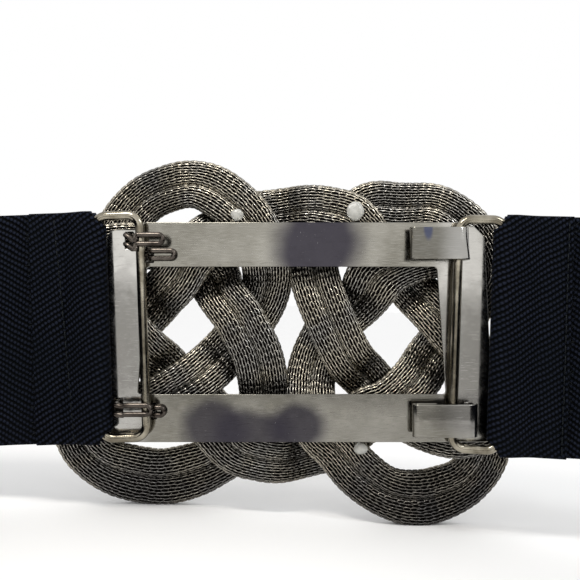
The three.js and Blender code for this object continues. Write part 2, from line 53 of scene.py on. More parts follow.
# Fits and layers, as in the solids
GAP = 0.3
TUBE_WIDTH = 6.4
TUBE_THICKNESS = 5
TUBE_PITCH = TUBE_WIDTH + GAP
KNOT_WIDTH = 136.6
KNOT_HEIGHT = 98.4
PLATEAU_SHARPNESS = 3
WEAVE_CLEARANCE = 0.2
SHEET = 0.9
STAPLE_WIRE = 1.4
RING_WIRE = 2.4
BAND_THICKNESS = 1.6
BAND_WIDTH = 60
TUBE_LIFT = (TUBE_THICKNESS + GAP) / 2 + WEAVE_CLEARANCE
KNOT_CREST = TUBE_LIFT + TUBE_THICKNESS / 2
STAPLE_BACK = KNOT_CREST + GAP + STAPLE_WIRE / 2
PLATE_BACK = STAPLE_BACK + STAPLE_WIRE / 2 + GAP
PLATE_FRONT = PLATE_BACK + SHEET
PLATE_MIDDLE = (PLATE_BACK + PLATE_FRONT) / 2
STAPLE_FRONT = PLATE_FRONT + GAP + STAPLE_WIRE / 2
RING_DEPTH = PLATE_FRONT + GAP + BAND_THICKNESS + GAP + RING_WIRE / 2
STAPLE_ARM = RING_DEPTH + RING_WIRE / 2 + GAP + STAPLE_WIRE / 2
HOOK_TOP = RING_DEPTH + RING_WIRE / 2 + GAP + SHEET / 2

# Back plate
PLATE_WIDTH = 99.2
PLATE_INSET = 2.2
PLATE_HEIGHT = BAND_WIDTH - PLATE_INSET
PLATE_RISE = 3.1
PLATE_ACROSS = 0.4
TOP_STRIP = 11.7
BOTTOM_STRIP = 12.6
LEFT_COLUMN = 10.5
RIGHT_COLUMN = 12.5
SHOULDER_DROP = 2
WINDOW_TAPER = 2.4
WINDOW_CORNER = 1
PLATE_CORNER = 2.8
PLATE_FLARE = 2.6
SLOT_PLAY = 0.4
PLATE_LEFT = PLATE_ACROSS - PLATE_WIDTH / 2
PLATE_RIGHT = PLATE_ACROSS + PLATE_WIDTH / 2
PLATE_TOP = PLATE_RISE + PLATE_HEIGHT / 2
PLATE_BOTTOM = PLATE_RISE - PLATE_HEIGHT / 2
PLATE_BEVEL = 0.14

# Hooks, rings and staples
HOOK_WIDTH = 8.5
HOOK_CORNER = 2.2
LIP_RADIUS = 1.3
LIP_LENGTH = 6
HOOK_STEPS = 16
HOOK_POINTS = 110
HOOK_EDGE = 0.25
RING_HEIGHT = BAND_WIDTH - 2.5
RING_WIDTH = 11.75
RING_CORNER = 3.3
RING_STEPS = 12
RING_POINTS = 260
RING_SIDES = 20
STAPLE_LENGTH = 12
STAPLE_BEND = 1.1
STAPLE_POINTS = 90
STAPLE_SIDES = 12
STAPLE_ARM_SHARE = 0.2
LOOP_HALF = 1.15
TAIL_HALF = 1

# Elastic band
BELT_LENGTH = 780
FLAP_LENGTH = 16.8
FLAP_DROP = 9
FLAP_CLEARANCE = 0.25
PLAIN_STRETCH = 4
FRONT_HANDLE = 0.45
REAR_HANDLE = 0.58
EYE_RADIUS = RING_WIRE / 2 + GAP + BAND_THICKNESS / 2
FLAP_REST = BAND_THICKNESS + FLAP_CLEARANCE - EYE_RADIUS
EYE_INSET = 2.1
EDGE_SHARE = 0.97
GATHER_POWER = 3.6
FLAP_ROWS = 64
EYE_ROWS = 25
PLAIN_ROWS = 44
LOOP_ROWS = 150
CURVE_STEPS = 399
HALVINGS = 30
SETTLE_SHARE = 0.3
COLUMNS = 41
EDGE_POINTS = 7

# Creases and soft folds of each flap: distance in from its edge, slant, reach, and depth of the valley
CREASES = {
    "left": [(8.3, 1.7, 0.6, 0.42), (4.2, 0.8, 2.2, -0.3), (12.4, 0.8, 2.4, -0.25)],
    "right": [(1.2, 0.0, 0.5, 0.35), (5.0, 0.5, 1.6, -0.22), (10.5, -0.6, 2.6, -0.28)],
}

# Sewing: rows of stitches as distance out from the ring's bar and slant, for each flap
SEAMS = {
    "left": [(8.5, 1.7)],
    "right": [(15.6, 0.0)],
}
SEAM_INSET = 1.2
STITCH_PITCH = 2.6
STITCH_SHARE = 0.78
THREAD_RADIUS = 0.2
FRAY_RADIUS = 0.07
FRAYS = 90
STITCH_POINTS = 9
STITCH_JITTER = 0.08
STITCH_RISE = 2.2
FRAY_POINTS = 7
FRAY_REACH = (0.3, 1.5)
THREAD_SIDES = 6

# Knit of the tubes
WALES = 12
ROW_PITCH = 2.0
STITCH_STEPS = 10
LOOP_HEIGHT = 1.45
LOOP_SWAY = 0.13
LOOP_DEPTH = 0.17
WIRE_RADIUS = 0.25
WIRE_SIDES = 3
SEEN_TUBE_WIDTH = TUBE_PITCH + 0.4
SQUARENESS = 0.66
SEAM_FILL = 0.35
KNIT_STEP = 0.6
CORE_STEP = 2.4
CORE_SIDES = 14
SWAY = 0.35
SWAY_LENGTH = 37
ROW_UNEVEN = 0.07
TURN_UNEVEN = 0.03
INSET_UNEVEN = 0.03
# Share of the painted light taken off the sunk parts of each loop, which leaves painted shade there
SUNK_PAINTED_SHADE = 0.55
TRIANGLES_A_PIECE = 190000

# Camera: its place in the buckle's frame, and its focal length in pixels of the square photograph
CAMERA_PLACE = (-1.09, 14.2, 215)
FOCAL_PIXELS = 787
PHOTO_PIXELS = 580

ENDS = {
    "left": {"hand": -1, "inner": 39.05, "rise": 4.9, "lean": 2, "swing": 0, "open": 1},
    "right": {"hand": 1, "inner": 41.7, "rise": 2.9, "lean": 1.9, "swing": 8, "open": 1.03},
}

# Strip that carries each hook, share of the strip inside its outer edge, the ring bar's play as a share of
# its wire, the reach as a share of the hook's width, and the tilt in degrees
HOOKS = [
    {"strip": "top", "inset": 0.5, "play": 0, "reach": 1.66, "tilt": 13},
    {"strip": "bottom", "inset": 0.51, "play": 1.67, "reach": 1.89, "tilt": 0},
]

# Strip and share as for the hooks, then shares of a staple's length: the drop of the tail, and the places,
# from the plate's left edge, of the arm's end, the fold, the second slot and the tail's end
STAPLES = {
    "staple_top": {"strip": "top", "inset": 0.41, "drop": 0.308, "places": (1.196, 0.492, 0.933, 1.4)},
    "staple_bottom": {"strip": "bottom", "inset": 0.742, "drop": 0.09, "places": (0.938, 0.258, 1, 1.175)},
}

# Edge of the plate that each bead of glue lies beside, its place as a share of the strand's half width, and
# its size as shares of a tube's width
STRAND_HALF_WIDTH = (KNOT_WIDTH - TUBE_PITCH - TUBE_WIDTH) / 2
BEAD_CLEARANCE = 0.5
BEADS = {
    "glue_bead_1": ("top", 0.262, (0.72, 0.81, 0.42)),
    "glue_bead_2": ("top", -0.245, (0.5, 0.53, 0.3)),
    "glue_bead_3": ("bottom", 0.286, (0.56, 0.5, 0.33)),
}


def bead_place(name):
    """Middle of a bead of glue and its size, in the buckle's frame."""
    edge, across, shares = BEADS[name]
    size = np.array(shares) * TUBE_WIDTH
    off = BEAD_CLEARANCE + size[1] / 2
    rise = PLATE_TOP + off if edge == "top" else PLATE_BOTTOM - off
    return np.array((across * STRAND_HALF_WIDTH, rise, KNOT_CREST + GAP + size[2] / 2)), size


# Crossings of the knot as shares of the half width and half height of the tubes' middle line
CROSSINGS = {
    "top_left": (-0.208, 0.795),
    "top_right": (0.248, 0.782),
    "upper_left": (-0.46, 0.532),
    "upper_right": (0.442, 0.487),
    "left": (-0.73, 0.077),
    "mid_left": (-0.217, 0.09),
    "mid_right": (0.173, 0.096),
    "right": (0.704, 0.058),
    "lower_left": (-0.509, -0.301),
    "lower_right": (0.416, -0.385),
    "bottom_left": (-0.248, -0.673),
    "bottom_right": (0.19, -0.66),
    "lobe_high_left": (-0.801, 0.59),
    "lobe_low_left": (-0.912, -0.353),
    "lobe_high_right": (0.81, 0.596),
    "lobe_low_right": (0.858, -0.5),
}

# The one closed strand, over and under in turn: a crossing and the bends that follow it. A bend's third
# number is how far the two tubes spread there. Nine bends differ a little from the solids', to close gaps.
STRAND = [
    ("right", (0.77, -0.064), (0.814, -0.244)),
    ("lobe_low_right", (0.85, -0.734), (0.765, -0.905), (0.635, -0.98, 1.1), (0.522, -0.987, 1.1),
     (0.403, -0.942), (0.283, -0.821)),
    ("bottom_right", (0.106, -0.532), (0.071, -0.34), (0.084, -0.167), (0.124, -0.019)),
    ("mid_right", (0.3, 0.275, 1.04), (0.357, 0.412, 1.15)),
    ("upper_right", (0.611, 0.554, 0.92)),
    ("lobe_high_right", (0.934, 0.577), (1.027, 0.397), (1.058, 0.141), (1.04, -0.179), (0.965, -0.385)),
    ("lobe_low_right", (0.735, -0.571), (0.602, -0.551), (0.504, -0.487)),
    ("lower_right", (0.319, -0.224), (0.248, -0.115)),
    ("mid_right", (0.095, 0.391), (0.088, 0.5), (0.133, 0.622)),
    ("top_right", (0.354, 0.876), (0.469, 0.868), (0.624, 0.85, 0.94), (0.743, 0.728)),
    ("lobe_high_right", (0.841, 0.449), (0.801, 0.282)),
    ("right", (0.65, -0.032), (0.518, -0.256)),
    ("lower_right", (0.312, -0.468, 1.12)),
    ("bottom_right", (0.093, -0.718, 0.93), (-0.031, -0.75, 0.9), (-0.159, -0.724, 0.93)),
    ("bottom_left", (-0.362, -0.487, 1.12)),
    ("lower_left", (-0.566, -0.186)),
    ("left", (-0.805, 0.237), (-0.823, 0.41)),
    ("lobe_high_left", (-0.756, 0.772), (-0.652, 0.929, 0.96), (-0.518, 0.994, 0.94), (-0.429, 1, 0.94),
     (-0.341, 0.955)),
    ("top_left", (-0.142, 0.622), (-0.118, 0.429), (-0.136, 0.288)),
    ("mid_left", (-0.301, -0.058), (-0.394, -0.186)),
    ("lower_left", (-0.637, -0.397), (-0.77, -0.442)),
    ("lobe_low_left", (-1.018, -0.199), (-1.053, 0.045), (-1.031, 0.321), (-0.938, 0.513)),
    ("lobe_high_left", (-0.637, 0.61, 0.92), (-0.549, 0.592)),
    ("upper_left", (-0.37, 0.43, 1.15), (-0.324, 0.315), (-0.248, 0.173)),
    ("mid_left", (-0.159, -0.083), (-0.133, -0.314), (-0.15, -0.5)),
    ("bottom_left", (-0.35, -0.776), (-0.46, -0.84, 1.1), (-0.593, -0.872, 1.12), (-0.726, -0.827, 1.1),
     (-0.841, -0.75), (-0.92, -0.628), (-0.947, -0.468)),
    ("lobe_low_left", (-0.836, -0.128)),
    ("left", (-0.597, 0.282), (-0.518, 0.397)),
    ("upper_left", (-0.363, 0.673)),
    ("top_left", (-0.071, 0.827), (0.062, 0.84), (0.168, 0.821)),
    ("top_right", (0.33, 0.66, 0.96)),
    ("upper_right", (0.5, 0.385, 0.95), (0.637, 0.167)),
]

TO_WEARER = np.array((0.0, 0.0, 1.0))
draw = np.random.RandomState(7)


# Frame of the buckle in the row frame, found from the places of two beads of glue
def buckle_matrix():
    found = []
    local = []
    for name in ("glue_bead_1", "glue_bead_3"):
        low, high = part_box(name)
        found.append((low + high) / 2)
        local.append(Vector(bead_place(name)[0]))
    step = found[0] - found[1]
    local_step = local[0] - local[1]
    turn = math.atan2(local_step.y, local_step.x) - math.atan2(step.z, -step.x)
    right = Vector((-math.cos(turn), 0, -math.sin(turn)))
    up = Vector((-math.sin(turn), 0, math.cos(turn)))
    turned = Matrix((right, up, (0, 1, 0))).transposed()
    origin = found[0] - turned @ (local[0] * MM)
    return Matrix.LocRotScale(origin, turned.to_quaternion(), (1, 1, 1))


BUCKLE = buckle_matrix()
TURNED = np.array(BUCKLE.to_3x3())
ORIGIN = np.array(BUCKLE.translation)


def to_row(points):
    return np.asarray(points) * MM @ TURNED.T + ORIGIN


def to_buckle(points):
    return (np.asarray(points) - ORIGIN) @ TURNED / MM


# Camera, lights and floor
def linked(name, data):
    """A new object with the data, in the scene."""
    thing = bpy.data.objects.new(name, data)
    bpy.context.scene.collection.objects.link(thing)
    return thing


def make_camera():
    data = bpy.data.cameras.new("camera")
    data.sensor_width = 36
    data.lens = FOCAL_PIXELS / PHOTO_PIXELS * data.sensor_width
    data.clip_start = 0.005
    data.clip_end = 20
    camera = linked("camera", data)
    camera.matrix_world = BUCKLE @ Matrix.Translation(Vector(CAMERA_PLACE) * MM)
    bpy.context.scene.camera = camera


# Lit panels: place, point that each faces, width and height in mm, brightness of the face, spread in degrees
# and colour
LIGHTS = {
    "panel_inside": ((0, 9, 172), (0, 9, 0), (236, 110), 0.4, 150, (1, 0.985, 0.95)),
    "key_above": ((-60, 190, 130), (0, 0, 5), (80, 45), 24.0, 180, (1, 0.96, 0.9)),
    "fill_right": ((120, 150, 100), (0, 0, 5), (50, 40), 14.0, 180, (0.95, 0.98, 1)),
}


def soft_light(name, place, target, size, glow, spread, tint):
    data = bpy.data.lights.new(name, "AREA")
    data.shape = "RECTANGLE"
    data.size, data.size_y = (side * MM for side in size)
    data.energy = glow * math.pi * data.size * data.size_y
    data.spread = math.radians(spread)
    data.color = tint
    light = linked(name, data)
    start, end = (Vector(to_row(p)) for p in (place, target))
    aim = (end - start).to_track_quat("-Z", "Z")
    light.matrix_world = Matrix.Translation(start) @ aim.to_matrix().to_4x4()
    light.visible_camera = False


def make_lights():
    world = bpy.data.worlds.new("studio")
    bpy.context.scene.world = world
    world.use_nodes = True
    shade = world.node_tree.nodes["Background"]
    shade.inputs["Color"].default_value = (1, 1, 1, 1)
    shade.inputs["Strength"].default_value = 1.0
    for name, settings in LIGHTS.items():
        soft_light(name, *settings)


def make_floor():
    reach = 3.0
    mesh = bpy.data.meshes.new("floor")
    corners = [(-reach, -reach, 0), (reach, -reach, 0), (reach, reach, 0), (-reach, reach, 0)]
    mesh.from_pydata(corners, [], [(0, 1, 2, 3)])
    floor = linked("floor", mesh)
    material, n = new_material("floor_pale")
    n.put("Base Color", (0.93, 0.93, 0.93, 1))
    n.put("Roughness", 0.7)
    mesh.materials.append(material)


# Materials
class Nodes:
    """Short ways to add and join the nodes of one material."""

    def __init__(self, tree):
        self.tree = tree
        self.shader = tree.nodes["Principled BSDF"]

    def put(self, name, value):
        """Set one input of the shader, to a constant or to what a node gives."""
        self.join(value, self.shader.inputs[name])

    def add(self, kind, **settings):
        node = self.tree.nodes.new("ShaderNode" + kind)
        for name, value in settings.items():
            setattr(node, name, value)
        return node

    def join(self, value, socket):
        if isinstance(value, bpy.types.NodeSocket):
            self.tree.links.new(value, socket)
        else:
            socket.default_value = value

    def math(self, operation, *values):
        node = self.add("Math", operation=operation)
        for value, socket in zip(values, node.inputs):
            self.join(value, socket)
        return node.outputs[0]

    def vector(self, operation, *values, out="Vector"):
        node = self.add("VectorMath", operation=operation)
        for value, socket in zip(values, node.inputs):
            self.join(value, socket)
        return node.outputs[out]

    def attribute(self, name):
        return self.add("Attribute", attribute_name=name).outputs["Vector"]

    def noise(self, vector, scale, detail=3.0):
        node = self.add("TexNoise")
        self.join(vector, node.inputs["Vector"])
        node.inputs["Scale"].default_value = scale
        node.inputs["Detail"].default_value = detail
        return node.outputs["Fac"]

    def ramp(self, value, low, high, to_low=0.0, to_high=1.0):
        node = self.add("MapRange", interpolation_type="SMOOTHSTEP")
        for socket, part in zip(node.inputs, (value, low, high, to_low, to_high)):
            self.join(part, socket)
        return node.outputs[0]

    def mix(self, share, first, second):
        node = self.add("Mix", data_type="RGBA")
        self.join(share, node.inputs["Factor"])
        colours = [socket for socket in node.inputs if socket.type == "RGBA"]
        for value, socket in zip((first, second), colours):
            self.join(value, socket)
        return next(socket for socket in node.outputs if socket.type == "RGBA")

    def ragged(self, vector, scale, reach):
        """The vector shifted by cloudy noise of up to about reach each way."""
        node = self.add("TexNoise")
        self.join(vector, node.inputs["Vector"])
        node.inputs["Scale"].default_value = scale
        level = self.vector("SUBTRACT", node.outputs["Color"], (0.5, 0.5, 0.5))
        return self.vector("ADD", vector, self.vector("MULTIPLY", level, (2 * reach, 2 * reach, 2 * reach)))

    def spot(self, place, centre, reach):
        """One inside an ellipsoid round centre, fading to nothing at its skin."""
        from_centre = self.vector("SUBTRACT", place, centre)
        scaled = self.vector("DIVIDE", from_centre, reach)
        return self.ramp(self.vector("LENGTH", scaled, out="Value"), 1.0, 0.5)

    def patched(self, base, place, patches, shade):
        """The base colour with a shade laid over it in patches of centre, reach and strength."""
        for centre, reach, depth in patches:
            share = self.math("MULTIPLY", self.spot(place, centre, reach), depth)
            base = self.mix(share, base, shade)
        return base

    def bump(self, height, strength, distance):
        node = self.add("Bump")
        node.inputs["Strength"].default_value = strength
        node.inputs["Distance"].default_value = distance
        self.join(height, node.inputs["Height"])
        return node.outputs["Normal"]


def new_material(name):
    material = bpy.data.materials.new(name)
    material.use_nodes = True
    return material, Nodes(material.node_tree)


def colour(red, green, blue):
    return (red, green, blue, 1)


def knit_material():
    material, n = new_material("gunmetal_wire")
    place = n.attribute("place")
    patches = n.ramp(n.noise(place, 0.09, 2), 0.38, 0.62)
    grain = n.ramp(n.noise(place, 1.7, 3), 0.3, 0.7)
    warm = n.mix(grain, colour(0.29, 0.26, 0.205), colour(0.76, 0.7, 0.58))
    cool = n.mix(grain, colour(0.17, 0.162, 0.148), colour(0.53, 0.51, 0.47))
    # Painted shade: the sunk parts of each loop and the inner side of each wire are darkened, and the outer
    # crowns are painted light
    painted_recess_shade = n.ramp(n.vector("DOT_PRODUCT", n.attribute("painted_light_share"), (1, 0, 0), out="Value"), 0.15, 0.75)
    # Painted shade: the knit is darkened towards the bottom, from 22 mm below the middle downwards
    height = n.vector("DOT_PRODUCT", place, (0, 1, 0), out="Value")
    tone = n.mix(n.ramp(height, -22, -44, 0.0, 0.62), n.mix(patches, cool, warm), colour(0.04, 0.037, 0.045))
    n.put("Base Color", n.mix(painted_recess_shade, colour(0.015, 0.0135, 0.012), tone))
    n.put("Metallic", 1)
    n.put("Roughness", n.ramp(n.noise(place, 0.9, 3), 0.3, 0.7, 0.18, 0.34))
    n.put("Normal", n.bump(n.noise(place, 6.0, 2), 0.25, 0.00005))
    return material


def core_material():
    material, n = new_material("mesh_core_dark")
    place = n.attribute("place")
    n.put("Base Color", n.mix(n.noise(place, 1.1), colour(0.001, 0.001, 0.001), colour(0.008, 0.007, 0.006)))
    n.put("Roughness", 0.95)
    n.put("Specular IOR Level", 0.08)
    return material


# Painted dark reflections on the plating, as cloudy patches: centre and reach in mm, and strength
PLATE_PAINTED_REFLECTIONS = [
    ((6.4, 26.4, 8.0), (14.6, 15, 30), 0.96),
    ((-21.0, -21.8, 8.0), (11.5, 8.5, 30), 0.85),
    ((-11.0, -23.6, 8.0), (13, 8.5, 30), 0.85),
    ((0.5, -21.8, 8.0), (10.5, 8.5, 30), 0.9),
    ((44.0, -18.0, 8.0), (12, 7, 30), 0.3),
]

# Painted light: lighter patches along the plate's two columns, standing in for brighter reflections there
PLATE_PAINTED_LIGHT = [
    ((-45.0, 2.0, 8.0), (10, 44, 30), 0.75),
    ((44.5, 8.0, 8.0), (10, 44, 30), 0.6),
]

# Spot of blue marker on the top hook
PLATE_STAINS = [
    ((34.2, 30.0, 14.0), (1.5, 3.9, 4), 0.75),
]


def plate_material():
    """Polished nickel plating with cloudy tarnish, painted dark reflections, painted light along its
    columns, fine scratches and a spot of blue marker.
    """
    material, n = new_material("plate_nickel")
    place = n.attribute("place")
    cloud = n.ramp(n.noise(place, 0.055, 3), 0.35, 0.7)
    base = n.mix(cloud, colour(0.158, 0.15, 0.127), colour(0.255, 0.245, 0.217))
    rub = n.noise(n.vector("MULTIPLY", place, (0.25, 4.0, 1.0)), 1.6, 3)
    base = n.mix(n.ramp(rub, 0.4, 0.8, 0.0, 0.45), base, colour(0.36, 0.35, 0.322))
    # Painted light along the two columns
    base = n.patched(base, place, PLATE_PAINTED_LIGHT, colour(0.52, 0.51, 0.49))
    # Painted reflections: dark cloudy patches where the plate would mirror dark surroundings
    base = n.patched(base, n.ragged(place, 0.08, 2.4), PLATE_PAINTED_REFLECTIONS, colour(0.036, 0.033, 0.043))
    base = n.patched(base, place, PLATE_STAINS, colour(0.06, 0.075, 0.15))
    fine = n.noise(n.vector("MULTIPLY", place, (2.6, 1.2, 1.0)), 2.4, 4)
    base = n.mix(n.ramp(fine, 0.72, 0.78, 0.0, 0.8), base, colour(0.85, 0.85, 0.83))
    n.put("Base Color", base)
    n.put("Metallic", 1)
    n.put("Roughness", n.ramp(n.noise(place, 0.35, 4), 0.3, 0.75, 0.09, 0.2))
    stretched = n.vector("MULTIPLY", place, (0.35, 5.0, 1.0))
    scratches = n.ramp(n.noise(stretched, 0.9, 2), 0.62, 0.72)
    waves = n.noise(place, 0.05, 1)
    height = n.math("ADD", waves, n.math("MULTIPLY", scratches, -0.04))
    n.put("Normal", n.bump(height, 0.3, 0.0003))
    return material


def wire_material(name, dark, light, rough):
    material, n = new_material(name)
    place = n.attribute("place")
    cloud = n.ramp(n.noise(place, 0.25, 4), 0.3, 0.7)
    n.put("Base Color", n.mix(cloud, dark, light))
    n.put("Metallic", 1)
    n.put("Roughness", n.ramp(n.noise(place, 0.8, 3), 0.3, 0.7, rough, rough * 1.8))
    n.put("Normal", n.bump(n.noise(place, 3.0, 3), 0.12, 0.0001))
    return material


# Woven relief of the elastic: rows of small floats along a slanting twill line
TWILL_ANGLE = math.radians(31)
TWILL_PITCH = 1.3
FLOAT_PITCH = 1.0
FLOAT_STAGGER = 0.37


def elastic_material():
    material, n = new_material("elastic_twill")
    weave = n.attribute("weave")
    drift = n.math("MULTIPLY", n.math("SUBTRACT", n.noise(weave, 0.12, 2), 0.5), 0.9)
    jitter = n.math("MULTIPLY", n.math("SUBTRACT", n.noise(weave, 1.3, 2), 0.5), 0.45)
    slope = (math.cos(TWILL_ANGLE), math.sin(TWILL_ANGLE), 0)
    across = (-math.sin(TWILL_ANGLE), math.cos(TWILL_ANGLE), 0)
    run = n.math("DIVIDE", n.vector("DOT_PRODUCT", weave, slope, out="Value"), FLOAT_PITCH)
    line = n.math("DIVIDE", n.vector("DOT_PRODUCT", weave, across, out="Value"), TWILL_PITCH)
    line = n.math("ADD", line, n.math("ADD", drift, n.math("MULTIPLY", jitter, 0.25)))
    run = n.math("ADD", run, n.math("ADD", n.math("MULTIPLY", n.math("FLOOR", line), FLOAT_STAGGER), jitter))
    ridge = n.math("ABSOLUTE", n.math("SINE", n.math("MULTIPLY", line, math.pi)))
    floats = n.math("ABSOLUTE", n.math("SINE", n.math("MULTIPLY", run, math.pi)))
    float_height = n.math("ADD", n.math("MULTIPLY", floats, 0.45), 0.55)
    relief = n.math("MULTIPLY", n.math("POWER", ridge, 0.9), float_height)
    lint = n.noise(weave, 9.0, 2)
    patches = n.noise(weave, 0.06, 3)
    # Painted highlight on the tops of the floats and painted shade in the grooves between them
    tops = n.ramp(relief, 0.45, 0.95)
    tone = n.mix(tops, colour(0.0001, 0.0002, 0.0005), colour(0.0115, 0.0145, 0.026))
    tone = n.mix(n.ramp(patches, 0.3, 0.75, 0.0, 0.35), tone, colour(0.001, 0.0022, 0.003))
    fluff = n.math("MULTIPLY", n.ramp(lint, 0.66, 0.8), 0.3)
    n.put("Base Color", n.mix(fluff, tone, colour(0.03, 0.034, 0.05)))
    n.put("Roughness", 0.7)
    n.put("Specular IOR Level", 0.045)
    height = n.math("ADD", relief, n.math("MULTIPLY", lint, 0.2))
    n.put("Normal", n.bump(height, 1.0, 0.0005))
    return material


def thread_material():
    material, n = new_material("sewing_thread")
    place = n.attribute("place")
    twist = n.math("SINE", n.vector("DOT_PRODUCT", place, (9.0, 14.0, 3.0), out="Value"))
    tone = n.mix(n.ramp(twist, -1, 1), colour(0.0003, 0.0005, 0.0009), colour(0.006, 0.009, 0.012))
    n.put("Base Color", tone)
    n.put("Roughness", 0.6)
    n.put("Specular IOR Level", 0.15)
    return material


def glue_material():
    material, n = new_material("hot_melt_glue")
    place = n.attribute("place")
    n.put("Base Color", n.mix(n.noise(place, 0.8, 3), colour(0.62, 0.61, 0.56), colour(0.86, 0.86, 0.82)))
    n.put("Roughness", 0.16)
    n.put("Transmission Weight", 0.55)
    n.put("IOR", 1.48)
    n.put("Normal", n.bump(n.noise(place, 1.5, 3), 0.3, 0.0004))
    return material


# Meshes
def mesh_piece(name, points, quads, material, caps=(), attributes=None):
    """A piece from points in the buckle's frame. caps are faces of any number of corners."""
    points = np.asarray(points, float)
    quads = np.asarray(quads, np.int32).reshape(-1, 4)
    caps = [list(cap) for cap in caps]
    mesh = bpy.data.meshes.new(name)
    mesh.vertices.add(len(points))
    mesh.vertices.foreach_set("co", to_row(points).astype(np.float32).ravel())
    corners = np.concatenate([quads.ravel(), *(np.array(cap, np.int32) for cap in caps)])
    sizes = np.array([4] * len(quads) + [len(cap) for cap in caps])
    mesh.loops.add(len(corners))
    mesh.loops.foreach_set("vertex_index", corners.astype(np.int32))
    mesh.polygons.add(len(sizes))
    mesh.polygons.foreach_set("loop_start", np.concatenate([[0], np.cumsum(sizes)[:-1]]).astype(np.int32))
    mesh.polygons.foreach_set("use_smooth", np.full(len(sizes), True))
    mesh.update(calc_edges=True)
    for key, values in {"place": points, **(attributes or {})}.items():
        attribute = mesh.attributes.new(key, "FLOAT_VECTOR", "POINT")
        attribute.data.foreach_set("vector", np.asarray(values, np.float32).ravel())
    mesh.materials.append(material)
    piece = linked(name, mesh)
    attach(piece, "root")
    return piece


def unit(vectors):
    return vectors / np.linalg.norm(vectors, axis=-1, keepdims=True)


def frames_along(points, hint, closed):
    """Side and up directions at each point of a line, up as near the hint as can be."""
    if closed:
        ahead = np.roll(points, -1, 0) - np.roll(points, 1, 0)
    else:
        ahead = np.gradient(points, axis=0)
    forward = unit(ahead)
    side = unit(np.cross(np.broadcast_to(hint, forward.shape), forward))
    return side, np.cross(forward, side)


def ring_quads(rings, sides, closed):
    """Faces between rings of points, each ring closed on itself."""
    spans = rings if closed else rings - 1
    here = np.arange(spans)[:, None] * sides
    following = ((np.arange(spans) + 1) % rings)[:, None] * sides
    k = np.arange(sides)[None, :]
    turn = (k + 1) % sides
    return np.stack([here + k, here + turn, following + turn, following + k], -1).reshape(-1, 4)


def sweep(points, side, up, section, closed):
    """Points, faces and caps of a section carried along a line."""
    section = np.broadcast_to(section, (len(points), *np.shape(section)[-2:]))
    rings = points[:, None] + section[..., :1] * side[:, None] + section[..., 1:] * up[:, None]
    sides = rings.shape[1]
    quads = ring_quads(len(points), sides, closed)
    caps = []
    if not closed:
        last = (len(points) - 1) * sides
        caps = [list(range(sides))[::-1], [last + k for k in range(sides)]]
    return rings.reshape(-1, 3), quads, caps


def ellipse(width, height, sides):
    turn = 2 * np.pi * np.arange(sides) / sides
    return np.stack([width / 2 * np.cos(turn), height / 2 * np.sin(turn)], -1)


def rounded(before, corner, after, radius, steps):
    """Points of the curve round one corner, from its radius before it to its radius after it."""
    share = np.linspace(0, 1, steps + 1)[:, None]
    start = corner + unit(before - corner) * radius
    end = corner + unit(after - corner) * radius
    return (1 - share) ** 2 * start + 2 * share * (1 - share) * corner + share**2 * end


def softened(corners, radii, steps):
    """Line through corners, each inner corner rounded by a curve that starts its radius away."""
    corners = np.asarray(corners, float)
    line = [corners[0]]
    for before, corner, after, radius in zip(corners, corners[1:], corners[2:], radii):
        line.extend(rounded(before, corner, after, radius, steps))
    line.append(corners[-1])
    return np.array(line)


def run_along(line):
    """Length along a line at each of its points."""
    return np.concatenate([[0], np.cumsum(np.linalg.norm(np.diff(line, axis=0), axis=1))])


def spaced(points, count, closed=False):
    """The same line with evenly spaced points."""
    line = np.vstack([points, points[:1]]) if closed else points
    run = run_along(line)
    want = np.linspace(0, run[-1], count + 1)[:-1] if closed else np.linspace(0, run[-1], count)
    return np.stack([np.interp(want, run, line[:, k]) for k in range(line.shape[1])], -1)


def smoothstep(value, low, high):
    share = np.clip((value - low) / (high - low), 0, 1)
    return share * share * (3 - 2 * share)


# Knot of knitted tubes
def strand_line(step):
    """Middle line of the strand, evenly spaced, and the spread of the two tubes."""
    half = np.array([STRAND_HALF_WIDTH, (KNOT_HEIGHT - TUBE_PITCH - TUBE_WIDTH) / 2, 1])
    control = []
    crossing_at = []
    for name, *bends in STRAND:
        crossing_at.append(len(control))
        for place in (CROSSINGS[name], *bends):
            control.append((place[0], place[1], place[2] if len(place) > 2 else 1))
    p1 = np.array(control) * half
    p0, p2, p3 = np.roll(p1, 1, 0), np.roll(p1, -1, 0), np.roll(p1, -2, 0)
    d0, d1, d2 = (np.linalg.norm(b - a, axis=1)[:, None] ** 0.5 for a, b in ((p0, p1), (p1, p2), (p2, p3)))
    t1 = ((p1 - p0) / d0 - (p2 - p0) / (d0 + d1) + (p2 - p1) / d1) * d1
    t2 = ((p2 - p1) / d1 - (p3 - p1) / (d1 + d2) + (p3 - p2) / d2) * d1
    per_span = 24
    t = (np.arange(per_span) / per_span)[None, :, None]
    p1, p2, t1, t2 = (p[:, None] for p in (p1, p2, t1, t2))
    curve = p1 + t1 * t + (-3 * p1 + 3 * p2 - 2 * t1 - t2) * t**2 + (2 * p1 - 2 * p2 + t1 + t2) * t**3
    curve = curve.reshape(-1, 3)
    closed = np.vstack([curve, curve[:1]])
    run = run_along(closed)
    marks = np.array([run[i * per_span] for i in crossing_at] + [run[-1]])
    count = round(run[-1] / step)
    distance = run[-1] * np.arange(count) / count
    x, y, spread = (np.interp(distance, run, closed[:, k]) for k in range(3))
    span = np.searchsorted(marks, distance, "right") - 1
    share = (distance - marks[span]) / (marks[span + 1] - marks[span])
    wave = np.cos(np.pi * share)
    plateau = np.sign(wave) * (1 - (1 - np.abs(wave)) ** PLATEAU_SHARPNESS)
    height = np.where(span % 2, -1, 1) * TUBE_LIFT * plateau
    return np.stack([x, y, height], -1), spread


